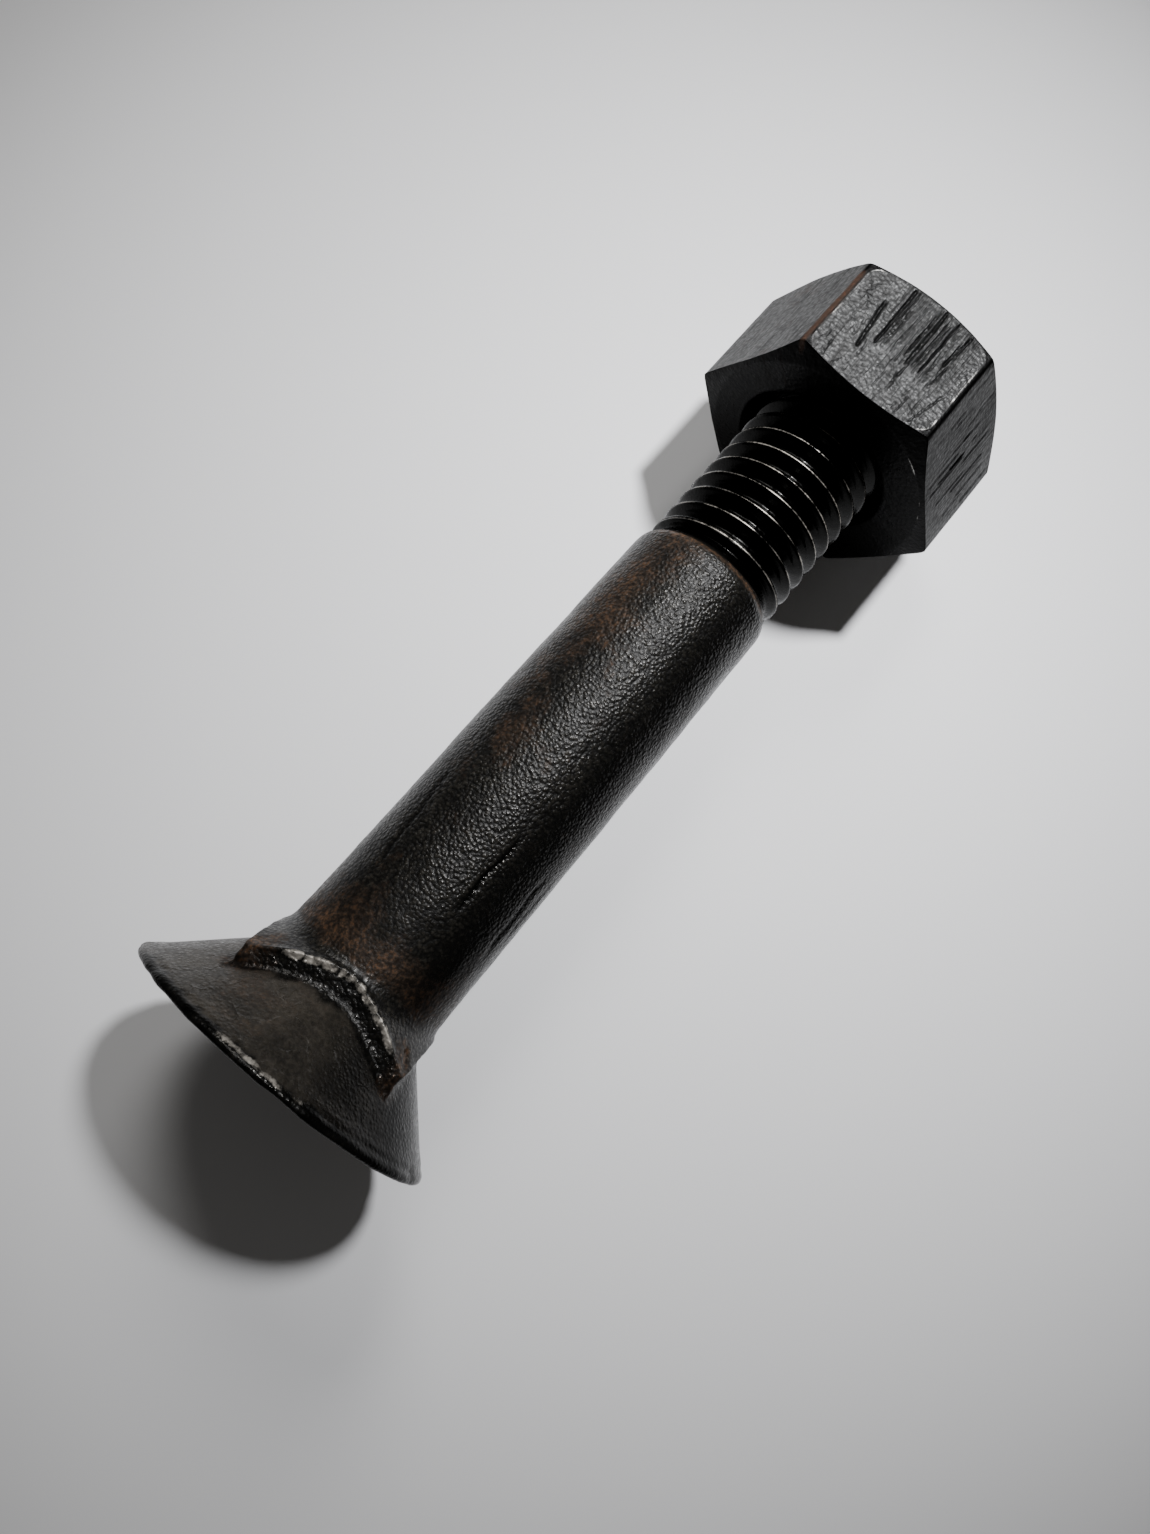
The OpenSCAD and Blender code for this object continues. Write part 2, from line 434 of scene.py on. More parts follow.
def addFloor(values):
    half = values["floorSize"] / 2
    mesh = bpy.data.meshes.new("floor")
    mesh.from_pydata([(-half, -half, 0), (half, -half, 0), (half, half, 0), (-half, half, 0)],
                     [], [(0, 1, 2, 3)])
    material = bpy.data.materials.new("paleFloor")
    material.use_nodes = True
    shader = material.node_tree.nodes["Principled BSDF"]
    shader.inputs["Base Color"].default_value = values["paper"]
    shader.inputs["Roughness"].default_value = values["paperRough"]
    shader.inputs["Specular IOR Level"].default_value = values["paperSpecular"]
    mesh.materials.append(material)
    floor = bpy.data.objects.new("floor", mesh)
    bpy.context.scene.collection.objects.link(floor)


def addLight(name, values):
    light = bpy.data.lights.new(name, "AREA")
    light.shape, light.size, light.energy = "DISK", values["size"], values["watts"]
    light.color, light.spread = values["tint"], math.radians(values["spread"])
    bearing, height = math.radians(values["bearing"]), math.radians(values["height"])
    level = math.cos(bearing) * frameRight + math.sin(bearing) * frameUp
    toLight = math.cos(height) * level + math.sin(height) * Vector((0, 0, 1))
    aim = mm * (values["aim"][0] * frameRight + values["aim"][1] * frameUp)  # brightest here
    lamp = bpy.data.objects.new(name, light)
    lamp.location = toLight * values["distance"]
    lamp.rotation_euler = (lamp.location - aim).to_track_quat("Z", "Y").to_euler()
    bpy.context.scene.collection.objects.link(lamp)


def addAmbient(values):
    world = bpy.data.worlds.new("studio")
    world.use_nodes = True
    background = world.node_tree.nodes["Background"]
    background.inputs["Color"].default_value = values["ambientTint"]
    background.inputs["Strength"].default_value = values["ambient"]
    bpy.context.scene.world = world


addFloor(studio)
for name, values in studio["lights"].items():
    addLight(name, values)
addAmbient(studio)
print("floor and lights placed")

boltValues = {                                    # mm and degrees
    "length": 101.6, "columns": 256,
    # head
    "headRadius": 16.4, "rimRound": 0.4, "rimLand": 1.0, "landLean": 0.1, "rimShift": 0.4,
    "seatRadius": 15.75, "faceHollow": 0.12,
    # square neck
    "neckHalf": 8.85, "neckCorner": 30, "neckFlat": 2.1, "valley": 0.55, "neckFillet": 3.0,
    "coneReach": 13.5,
    # shank and thread
    "shankAtNeck": 8.55, "shankAtEnd": 8.2, "shoulder": 62.8,
    "threadRadius": 7.78, "pitch": 2.309, "threadDepth": 0.54127, "crestAt": 66.095,
    "runOut": 3.0, "runOutStart": 7.5, "runOutEnd": 6.3, "endChamfer": 1.4,
    # depths of the marks of forging and use
    "unevenness": 0.05, "dimples": 0.022, "pits": 0.012, "rimLoss": 0.05, "rimDents": 0.16,
    "faceDents": 0.05, "threadRoughness": 0.01, "beadHeight": 0.05, "beadRoughness": 0.16,
    "flatRoughness": 0.04, "cornerLoss": 0.28,
    "nick": {"s": 44.7, "turn": 173.8, "length": 0.55, "width": 1.2, "lean": 5, "depth": 0.12},
    # long laps: turn, lean, start, end, width, depth
    "laps": ((-159.8, 2.3, 19.5, 29.5, 1.5, 0.17), (-118.3, -2.7, 18.6, 28.7, 1.8, 0.17),
             (144, -8.7, 18.1, 30.6, 1.3, 0.08), (-109.0, -1, 20.5, 29.5, 1.3, 0.08)),
    # how much of the rim, the bead and the crests is rubbed bright
    "rimWear": 0.58, "beadWear": 0.66, "crestWear": 0.52,
    # finish; the oil colour also paints shade
    "steel": (0.0165, 0.0152, 0.0128, 1), "soot": (0.003, 0.0028, 0.0024, 1),
    "oil": (0.0055, 0.0055, 0.0053, 1), "seat": (0.036, 0.0312, 0.0250, 1),
    "bare": (0.30, 0.28, 0.25, 1),
    "brown": (0.034, 0.0212, 0.0132, 1), "orange": (0.078, 0.036, 0.015, 1),
    "metallic": 0.12, "bareMetallic": 0.55, "bareRough": 0.5, "specular": 0.27,
    "edgeTint": (0.8, 0.8, 0.8, 1), "grainsPerMetre": 2800.0, "grainDepth": 0.00008,
}


def threadPhase(s, turn):  # from -0.5 to 0.5 across one pitch, zero on the crest
    return ((s - boltValues["crestAt"]) / boltValues["pitch"] - turn / fullTurn + 0.5) % 1 - 0.5


def flankDepth(phase, half):  # half is the crest's half width, as a share of the pitch
    return np.clip((np.abs(phase) - half) / (0.375 - half), 0, 1) \
        * boltValues["threadDepth"] * boltValues["pitch"]


def threadSurface(s, turn):
    b = boltValues
    phase = threadPhase(s, turn)
    after = s - b["shoulder"]
    start = 1 - smoothStep(2.5, 5.1, after)       # rolled crests aren't full at first
    radius = b["threadRadius"] - flankDepth(phase, 0.0625 + 0.05 * start)
    radius = radius - 0.1 * start * bump(phase, 0, 0.03) - 0.16 * (1 - smoothStep(-0.1, 2.1, after))
    cone = b["runOutStart"] - (after - 0.05) * (b["runOutStart"] - b["runOutEnd"]) / b["runOut"]
    end = b["threadRadius"] - b["endChamfer"] + b["length"] - s
    return np.minimum(np.maximum(radius, cone), end)


def squareAt(turn):  # radius of the square neck, with its corners a little rounded
    power = boltValues["neckCorner"]
    lean = np.radians(angleFrom(turn, 0) + 45) % (math.pi / 2) - math.pi / 4
    total = np.abs(np.cos(lean)) ** power + np.abs(np.sin(lean)) ** power
    return boltValues["neckHalf"] / total ** (1 / power)


def seatTopAt(turn):  # where the seat meets the square
    return boltValues["rimLand"] + boltValues["seatRadius"] - squareAt(turn)


def neckTop():  # the cone and fillet that cut the square off, as s and r
    b = boltValues
    flatTop = b["rimLand"] + b["seatRadius"] - b["neckHalf"] + b["neckFlat"]
    rise = b["neckFillet"] * math.tan(math.radians(22.5))
    filletEnd = flatTop + b["neckHalf"] - b["shankAtNeck"] + rise
    swing = np.radians(np.linspace(45, 0, 40))
    fillet = filletEnd - b["neckFillet"] * np.sin(swing)
    s = np.concatenate([[flatTop + b["neckHalf"] - b["coneReach"]], fillet])
    r = np.concatenate([[b["coneReach"]], b["shankAtNeck"] + b["neckFillet"] * (1 - np.cos(swing))])
    return s, r


neckTopS, neckTopR = neckTop()


def upperEdgeAt(turn):  # where a flat of the square ends
    return np.interp(-squareAt(turn), -neckTopR, neckTopS)


def fromNeckCorner(turn):  # degrees from the nearest corner of the square
    return np.abs((angleFrom(turn, 0) + 360) % 90 - 45)


def lapMarks(s, turn):
    for at, lean, first, last, width, depth in boltValues["laps"]:
        middle = at + lean * (s - first) / (last - first) + 0.7 * np.sin(s * 1.1 + at)
        reach = between(s, first, first + 2, last - 2.5, last)
        yield depth, reach * bump(angleFrom(turn, 0) - (middle + 180) % 360 + 180, 0, width)


def boltSkin():
    b = boltValues
    turns = np.arange(b["columns"]) * fullTurn / b["columns"]
    skin = newSkin()
    rings = []

    def ring(s, r):
        rings.append(addSpots(skin, s, r, turns))

    # outer face, rim and land
    hollow, faceRadius = b["faceHollow"], b["headRadius"] - b["rimRound"]
    rings.append(addSpots(skin, hollow, 0.0, 0.0)[()])
    for part in np.linspace(0.06, 0.98, 16):
        ring(hollow * (1 - part ** 2), faceRadius * part)
    for angle in np.radians(np.linspace(0, 90, 6)):
        ring(b["rimRound"] * (1 - math.cos(angle)), faceRadius + b["rimRound"] * math.sin(angle))
    landTop = b["headRadius"] - b["landLean"]
    for rise, out in ((-0.45, 0.06), (-0.32, 0.01), (-0.18, -0.09), (-0.06, -0.21), (0.05, -0.36)):
        ring(b["rimLand"] + rise, landTop + out)

    # seat, and a soft bend where it meets the square
    square, seatTop, valley = squareAt(turns), seatTopAt(turns), b["valley"]
    for part in np.linspace(0.03, 0.98, 34):
        s = b["rimLand"] + (seatTop - 0.7 * valley - b["rimLand"]) * part
        blend = 0.22 * np.exp(-((s - b["rimLand"]) / 0.7) ** 2)
        ring(s, b["seatRadius"] + b["rimLand"] - s + blend)
    for part in np.linspace(0, 1, 8):
        ring(seatTop + valley * (part ** 2 - 0.7 * (1 - part) ** 2),
             square + 0.7 * valley * (1 - part) ** 2)

    # the square's flats, then the cone and fillet down to the shank
    edge, filletEnd = upperEdgeAt(turns), neckTopS[-1]
    for part in np.linspace(0.07, 1, 14):
        ring(seatTop + valley + (edge - seatTop - valley) * part, square)
    for part in np.linspace(0.04, 1, 22):
        s = edge + (filletEnd - edge) * part
        ring(s, np.interp(s, neckTopS, neckTopR))

    # shank and shoulder
    for s in np.linspace(filletEnd + 0.5, b["shoulder"] - 1.3, 93):
        part = (s - filletEnd) / (b["shoulder"] - filletEnd)
        ring(s, b["shankAtNeck"] + (b["shankAtEnd"] - b["shankAtNeck"]) * part)
    for rise, drop in ((-1.0, 0.02), (-0.7, 0.07), (-0.45, 0.15), (-0.25, 0.27), (-0.1, 0.42),
                       (0, 0.58)):
        ring(b["shoulder"] + rise, b["shankAtEnd"] - drop)
    for rise in (0.15, 0.35, 0.55):
        ring(b["shoulder"] + rise, threadSurface(b["shoulder"] + rise, turns))

    # thread, end chamfer and end face
    phases = np.array([0, 0.055, 0.12, 0.25, 0.37, 0.5, 0.63, 0.75, 0.88, 0.945])
    bandStart = b["crestAt"] - b["pitch"]
    turnCount = int((b["length"] - bandStart) / b["pitch"]) - 1
    lowRing, highRing = addThread(skin, turnCount, turns, bandStart, b["pitch"], phases,
                                  threadSurface)
    rings.append(lowRing)
    addSleeve(skin, rings, b["columns"])
    rings = [highRing]
    endRadius = b["threadRadius"] - b["endChamfer"]
    for back, r in ((0.2, endRadius + 0.2), (0.05, endRadius + 0.04), (0, endRadius - 0.1),
                    (0, endRadius - 0.5), (0, 4.5), (0, 3.0), (0, 1.5)):
        s = b["length"] - back
        ring(s, np.minimum(r, threadSurface(s, turns)))
    rings.append(addSpots(skin, b["length"], 0.0, 0.0)[()])
    addSleeve(skin, rings, b["columns"])
    return skin


def boltPush(s, r, turn):
    b = boltValues
    after = s - b["shoulder"]
    onSeat = between(s, 1.3, 1.8, 8.5, 9.5)
    onShank = smoothStep(10, 12.5, s) * (1 - smoothStep(-2, -0.5, after))
    push = b["unevenness"] * surfaceNoise(s, turn, 5.0, 9, 11) * (onSeat + onShank)
    push += b["dimples"] * surfaceNoise(s, turn, 1.3, 9, 12) * (onSeat * 0.8 + onShank)
    push += b["pits"] * surfaceNoise(s, turn, 0.7, 9, 13) * onShank
    push += (b["threadRoughness"] * surfaceNoise(s, turn, 1.0, 8, 16)
             * smoothStep(0, 0.7, after) * smoothStep(4, 6.5, r))

    # hammered rim and outer face
    nearRim = smoothStep(13, 15.8, r)
    worn = 1 + nearRim * surfaceNoise(s, turn, 1.6, 16.5, 14)
    push -= b["rimLoss"] * worn * (1 - smoothStep(1.2, 1.5, s))
    dents = np.maximum(0, ringNoise(turn, 2.0, 16.5, 15, s=3) - 0.35)
    push -= b["rimDents"] * nearRim * dents * (1 - smoothStep(1.2, 1.4, s))
    faceDents = 1 + 0.7 * faceNoise(r, turn, 4.0, 41) + 0.5 * faceNoise(r, turn, 1.5, 42)
    push -= b["faceDents"] * (1 - nearRim) * faceDents * (s < 0.3)

    # a rough bead along the square's upper edge, rough flats and broken corners
    upperEdge, fromCorner = upperEdgeAt(turn), fromNeckCorner(turn)
    bead = bump(s, upperEdge, 0.32) * (r < 12.6)
    lowerSide = smoothStep(50, 70, np.abs(angleFrom(turn, 180)))
    rough = smoothStep(4, 14, fromCorner) * (1 - 0.8 * lowerSide)
    lumps = b["beadHeight"] + b["beadRoughness"] * ringNoise(turn, 0.55, 10, 17)
    push += bead * (b["beadHeight"] + lumps * rough)
    onFlat = (smoothStep(0.2, 0.7, s - seatTopAt(turn)) * (1 - smoothStep(-0.3, 0, s - upperEdge))
              * (r < 12.7) * (r > 8.6))
    push += b["flatRoughness"] * onFlat * (surfaceNoise(s, turn, 0.5, 10, 18)
                                           + surfaceNoise(s, turn, 1.0, 10, 19))
    chips = np.maximum(0, surfaceNoise(s, turn, 0.9, 12, 20) + 0.2) * (s > 4.0) * (s < 8.5)
    push -= b["cornerLoss"] * bump(fromCorner, 0, 4) * chips

    for depth, mark in lapMarks(s, turn):
        push -= depth * mark
    nick = b["nick"]
    fromNick = angleFrom(turn, nick["turn"]) + (s - nick["s"]) * nick["lean"]
    push -= nick["depth"] * bump(s, nick["s"], nick["length"]) * bump(fromNick, 0, nick["width"])
    return push


def boltShift(s, r, turn):  # the rim sits to one side, and the seat slants back from it
    part = (r - squareAt(turn)) / (boltValues["seatRadius"] - squareAt(turn))
    return boltValues["rimShift"] * np.clip(part, 0, 1) * (s < 9)


def boltMasks(s, r, turn):
    b = boltValues
    upper = angleFrom(turn, 180)                  # degrees from the top of the bolt as it lies
    upperEdge, seatTop, phase = upperEdgeAt(turn), seatTopAt(turn), threadPhase(s, turn)
    after = s - b["shoulder"]
    onThread = smoothStep(-0.1, 0.6, after)
    onShank = smoothStep(9.5, 12.5, s) * (1 - smoothStep(-0.9, -0.2, after))
    above = s - seatTop + 0.45 * ringNoise(turn, 1.3, 11, 28)
    onFlat = (smoothStep(-0.7, -0.1, above) * (1 - smoothStep(-0.3, 0.1, s - upperEdge))
              * (r < 12.9) * (r > 8.6))
    onSeat = (1 - onFlat) * (1 - smoothStep(-0.5, 0.3, s - seatTop)) * (r > 8.9)
    landEdge = s + 0.25 * ringNoise(turn, 0.8, 16.5, 27)
    onLand = (r > 15.4) * (1 - smoothStep(0.9, 1.2, landEdge)) * smoothStep(-72, -50, upper)
    onFace = (s < 0.3) & (r < 16.1)

    # rubbed bright: the rim's upper side, the bead and the crests
    rimLine = b["rimLand"] - 0.1 + 0.12 * ringNoise(turn, 0.9, 16.5, 25)
    wear = between(upper, -21, -14, 10, 21) * bump(s, rimLine, 0.22) * (r > 15.2)
    wear *= b["rimWear"] + 0.4 * surfaceNoise(s, turn, 0.6, 16.5, 21)
    beadLine = upperEdge - 0.24 + 0.12 * ringNoise(turn, 0.6, 10, 26)
    beadWear = b["beadWear"] + 0.5 * surfaceNoise(s * 0.4, turn, 0.38, 10, 22)
    wear += (bump(s, beadLine, 0.42) * (s > 4) * (s < 12) * beadWear
             * between(upper, -38, -27, 34, 42))
    crestWear = b["crestWear"] + 0.3 * surfaceNoise(s, turn, 1.5, 8, 43)
    wear += onThread * (r > 7.2) * bump(phase, 0, 0.05) * crestWear

    # rust: patches on the shank, the shoulder, the neck's corners and the seat
    rust = onShank * (0.12 + 0.3 * bump(angleFrom(turn, 140), 0, 32) * smoothStep(14, 40, s)
                      + 0.5 * bump(s, 12, 3) + 0.2 * surfaceNoise(s, turn, 6, 9, 23))
    rust += 0.75 * bump(s, b["shoulder"] - 0.15, 0.45)
    rust += 0.6 * bump(s, b["shoulder"] + 1.6, 1.5) * bump(phase, 0, 0.1)
    rust += 0.3 * onShank * bump(s, 58, 9) * bump(upper, -30, 28)
    rust += 0.7 * bump(fromNeckCorner(turn), 0, 7) * between(s, 3.5, 4.5, 8.5, 10)
    rust += 0.25 * between(s, 1.2, 2, 7, 9) * (0.6 + surfaceNoise(s, turn, 4, 12, 24))

    grain = onShank * (0.35 + 0.65 * smoothStep(14, 24, s)) + (s < 12) * (0.34 + 0.4 * onFlat)
    # paler skin on the seat, with painted shade: it fades by up to 0.55 towards the side where
    # upper is positive
    pale = (onSeat * (1 - onLand) * (1 - 0.55 * smoothStep(2, 40, upper))
            * (0.85 + 0.25 * surfaceNoise(s, turn, 1.5, 12, 29)))
    pale = np.where(onFace, 0.35 + 0.3 * faceNoise(r, turn, 3.0, 45), pale)
    # painted shade: the seat darker and less reflective towards the side where upper is positive
    paintedSeatShade = 0.58 * smoothStep(2, 30, upper) + 0.4 * smoothStep(34, 55, upper)
    laps = sum(depth * mark for depth, mark in lapMarks(s, turn)) * 7
    # oil on the thread, the land, the flats and the laps, and painted shade on one side of the seat
    # and the shank
    oil = np.maximum.reduce([
        onThread,
        onLand * (0.62 + 0.3 * surfaceNoise(s * 2, turn, 0.7, 16.5, 46)),
        onFlat * (0.42 + 0.15 * surfaceNoise(s, turn, 0.8, 10, 44)),
        np.clip(laps, 0, 0.9),
        onSeat * paintedSeatShade * (1 - smoothStep(100, 130, upper)),
        # painted shade: the shank darker and less reflective on the side where upper is positive
        0.7 * onShank * smoothStep(14, 48, upper)])
    return {"wear": wear, "rust": rust, "grain": grain, "oil": oil, "pale": pale}


def boltSteel(values):
    material, tree, lined, masks = startMaterial(
        "boltSteel", ("wear", "rust", "grain", "oil", "pale"))
    wear, rust, grain, oil, pale = masks
    pebble = useGroup(tree, steelGrain,
                      {"Vector": lined, "Grains per metre": values["grainsPerMetre"]})
    drag = useGroup(tree, dragMarks, {"Vector": lined})
    cracks = useGroup(tree, crackleLines, {"Vector": lined, "Cells per metre": 430.0})
    bare = useGroup(tree, wornEdge, {"Vector": lined, "Wear": wear, "Break up": 0.8,
                                     "Spots per metre": 2600.0})["Mask"]
    tone = remap(tree, pebble["Tone"], 0.35, 0.65, 0.0, 1.0)
    dark = mixColour(tree, tone, values["soot"], values["steel"])
    fineMottle = remap(tree, noiseFor(tree, lined, 1300.0, 5.0, 0.7), 0.38, 0.6, 0.62, 1.0)
    broadMottle = remap(tree, noiseFor(tree, lined, 260.0, 4.0, 0.6), 0.38, 0.6, 0.6, 1.25)
    paleWithShadeShare = times(tree, pale, times(tree, fineMottle, broadMottle))
    film = useGroup(tree, rustFilm,
                    {"Vector": lined, "Rust": rust, "Brown": values["brown"],
                     "Orange": values["orange"],
                     "Metal colour": mixColour(tree, paleWithShadeShare, dark, values["seat"])})
    pits = remap(tree, noiseFor(tree, lined, 2400.0, 3.0, 0.6), 0.42, 0.6, 0.5, 1.5)
    skinColour = mixColour(tree, remap(tree, pale, 0.0, 1.0, 1.0, 0.25), film["Color"], pits,
                           "MULTIPLY")
    rough = addTo(tree, remap(tree, pebble["Tone"], 0.3, 0.7, 0.42, 0.2),
                  times(tree, film["Mask"], 0.2))
    rough = mathNode(tree, "SUBTRACT", rough, times(tree, oil, 0.14))
    rough = mixValue(tree, bare, rough, values["bareRough"])
    grains = times(tree, pebble["Height"], addTo(tree, times(tree, grain, 0.9), 0.08))
    height = addTo(tree, grains, times(tree, drag["Height"], 0.15))
    height = addTo(tree, height, times(tree, cracks["Height"], times(tree, pale, 0.6)))
    finishSteel(tree, values, skinColour, bare, oil, rough, height)
    return material


makePiece("boltBody", "bolt", "bolt",
          (boltSkin(), boltPush, boltMasks, boltShift), boltSteel(boltValues))
print("bolt made")

nutValues = {                                     # mm and degrees
    "start": 82.5, "height": 14.5, "flatHalf": 13.6, "faceRadius": 13.1, "cornerPower": 85,
    "slope": 22, "lowSlope": 6, "endSlope": 31, "shift": -0.5,
    "mouthRadius": 9.2, "boreMinor": 6.9, "boreMajor": 7.86, "threadGap": 0.1,
    # columns that are closer on the three flats a camera above sees: from, to, step
    "columns": ((0, 90, 2), (90, 150, 0.75), (150, 210, 0.3), (210, 270, 0.75), (270, 360, 2)),
    # depths of the marks of forging and use
    "unevenness": 0.03, "dimples": 0.012, "loss": 0.05, "crumbs": 0.022,
    # gouges: the flat's turn, side and rise at the start, side and rise at the end, width, depth
    "gouges": ((180, -2.25, 5.6, -2.5, 14.2, 0.17, 0.3), (180, -3.4, 3.9, -4.2, 10.8, 0.22, 0.2),
               (180, 1.4, 6.1, 1.35, 14.6, 0.2, 0.3), (180, 4.3, 8.4, 4.9, 13.9, 0.2, 0.22),
               (180, -1.7, 6.2, -1.6, 12.5, 0.3, 0.12), (180, 2.3, 6.8, 2.2, 13.5, 0.25, 0.12),
               (180, 5.2, 0.9, 6.4, 6.0, 0.12, 0.12), (180, 3.6, 0.6, 3.75, 4.0, 0.1, 0.1),
               (180, -5.4, 0.8, -5.7, 3.6, 0.12, 0.1), (180, 0.6, 5.3, 1.9, 2.6, 0.12, 0.14)),
    # scratches: the flat's turn, count, depth, sides, rises where they start, last rise, length
    "scratches": ((180, 52, 0.08, (-2.4, 5.6), (5.2, 8.2), 14.6, 6),
                  (180, 36, 0.05, (-7, 7), (0.8, 6.5), 9, 2.2),
                  (240, 22, 0.09, (-6.5, 6.5), (0.5, 10), 14, 5),
                  (120, 12, 0.04, (-6.5, 6.5), (0.5, 10), 14, 5),
                  (0, 14, 0.06, (-6.5, 6.5), (0.5, 10), 14, 5),
                  (60, 14, 0.06, (-6.5, 6.5), (0.5, 10), 14, 5),
                  (300, 14, 0.06, (-6.5, 6.5), (0.5, 10), 14, 5)),
    "scratchSeed": 31,
    "rustLineTurn": 149.6, "rustLineWidth": 1.05, "rustLine": 2.2,
    # finish; the oil colour also paints shade on one flat
    "steel": (0.051, 0.052, 0.0525, 1), "soot": (0.0095, 0.0095, 0.0095, 1),
    "oil": (0.005, 0.005, 0.005, 1), "bare": (0.45, 0.44, 0.42, 1),
    "brown": (0.055, 0.031, 0.021, 1), "orange": (0.13, 0.056, 0.036, 1),
    "metallic": 0.3, "bareMetallic": 0.7, "specular": 0.3, "edgeTint": (0.7, 0.7, 0.7, 1),
    "grainsPerMetre": 2300.0, "grainDepth": 0.00008,
}
nutStart, nutEnd = nutValues["start"], nutValues["start"] + nutValues["height"]
endSlope = math.tan(math.radians(nutValues["endSlope"]))


def nutOutline(turn):
    power = nutValues["cornerPower"]
    total = sum(np.maximum(0, np.cos(turn - k * fullTurn / 6)) ** power for k in range(6))
    return nutValues["flatHalf"] / total ** (1 / power)


def nearSlope(turn):  # the near chamfer is cut less deep round the lower side
    v = nutValues
    upper = 1 - smoothStep(66, 92, np.abs(angleFrom(turn, 180)))
    return np.tan(np.radians(v["lowSlope"] + (v["slope"] - v["lowSlope"]) * upper))


def nutBore(s, turn):  # the thread inside, in step with the bolt's
    v = nutValues
    radius = boltValues["threadRadius"] - flankDepth(threadPhase(s, turn), 0.0625) + v["threadGap"]
    mouth = v["mouthRadius"] - np.minimum(s - nutStart, nutEnd - s)
    return np.maximum(np.clip(radius, v["boreMinor"], v["boreMajor"]), mouth)


def acrossTop(r, turn):  # mm sideways from the middle of the top flat
    return r * np.sin(np.radians(angleFrom(turn, 180)))


def flatEdge(s, turn):  # mm inside a flat's rounded border, zero on the border
    v = nutValues
    corner = np.abs((np.degrees(turn) % 60) - 30)
    fromCorner = v["flatHalf"] / math.cos(math.pi / 6) * np.radians(corner) - 0.34
    rise = nutOutline(turn) - v["faceRadius"]
    fromEnd = np.minimum(s - nutStart - rise * nearSlope(turn), nutEnd - rise * endSlope - s) - 0.12
    bend = 1.3
    return bend - np.hypot(np.maximum(0, bend - fromCorner), np.maximum(0, bend - fromEnd))


def drawGouges():
    draw = np.random.default_rng(nutValues["scratchSeed"])
    gouges = list(nutValues["gouges"])
    for flat, count, depth, sides, starts, last, length in nutValues["scratches"]:
        for _ in range(count):
            side, first = draw.uniform(*sides), draw.uniform(*starts)
            final = min(last, first + length * draw.uniform(0.5, 1.5))
            gouges.append((flat, side, first, side + draw.normal(0, 0.06), final,
                           draw.uniform(0.07, 0.13), depth * draw.uniform(0.4, 1.3)))
    return gouges


gouges = drawGouges()


def gougeDepth(s, r, turn):
    total = np.zeros(len(s))
    for flat, side, first, sideEnd, last, width, depth in gouges:
        near = np.nonzero((np.abs(angleFrom(turn, flat)) < 31) & (r > 13.2))[0]
        rise = s[near] - nutStart
        across = r[near] * np.sin(np.radians(angleFrom(turn[near], flat)))
        middle = side + (sideEnd - side) * (rise - first) / (last - first)
        middle = middle + 0.02 * np.sin(rise * 2.3 + side)
        reach = between(rise, first, first + 0.5, last - 0.8, last)
        raised = 0.4 * bump(across, middle + 1.9 * width, width)
        total[near] += depth * reach * (bump(across, middle, width) - raised)
    return total


def nutSkin():
    v, b = nutValues, boltValues
    turns = np.radians(np.concatenate([np.arange(*span) for span in v["columns"]]))
    skin = newSkin()
    rings = []
    outline = nutOutline(turns)
    drop = (outline - v["faceRadius"]) * nearSlope(turns)
    endDrop = (outline - v["faceRadius"]) * endSlope
    faceRadii = np.linspace(v["mouthRadius"] + 0.03, v["faceRadius"] - 0.15, 14)

    def ring(s, r):
        rings.append(addSpots(skin, s, r, turns))

    for r in faceRadii:
        ring(nutStart, r)
    for part in np.linspace(0, 1, 11):
        ring(nutStart + drop * part, v["faceRadius"] + (outline - v["faceRadius"]) * part)
    for part in np.concatenate([[0.01], np.linspace(0.025, 0.975, 74), [0.99]]):
        ring(nutStart + drop + (nutEnd - nutStart - drop - endDrop) * part, outline)
    for part in np.linspace(1, 0, 11):
        ring(nutEnd - endDrop * part, v["faceRadius"] + (outline - v["faceRadius"]) * part)
    for r in faceRadii[::-1]:
        ring(nutEnd, r)

    # down the bore, with whole turns of thread between two plain stretches
    phases = np.array([0, 0.06, 0.14, 0.22, 0.3, 0.42, 0.58, 0.7, 0.78, 0.86, 0.94])
    bandStart = b["crestAt"] + b["pitch"] * math.ceil((nutStart + 0.4 - b["crestAt"]) / b["pitch"])
    turnCount = int((nutEnd - 0.4 - bandStart) / b["pitch"]) - 1
    lowRing, highRing = addThread(skin, turnCount, turns, bandStart, b["pitch"], phases, nutBore,
                                  flip=True)
    bandEnd = bandStart + b["pitch"] * (turnCount + 1)
    for s in np.linspace(nutEnd - 0.05, bandEnd, 9)[:-1]:
        ring(s, nutBore(s, turns))
    rings.append(highRing)
    addSleeve(skin, rings, len(turns))
    firstRing, rings = rings[0], [lowRing]
    for s in np.linspace(bandStart, nutStart + 0.05, 14)[1:]:
        ring(s, nutBore(s, turns))
    rings.append(firstRing)
    addSleeve(skin, rings, len(turns))
    return skin


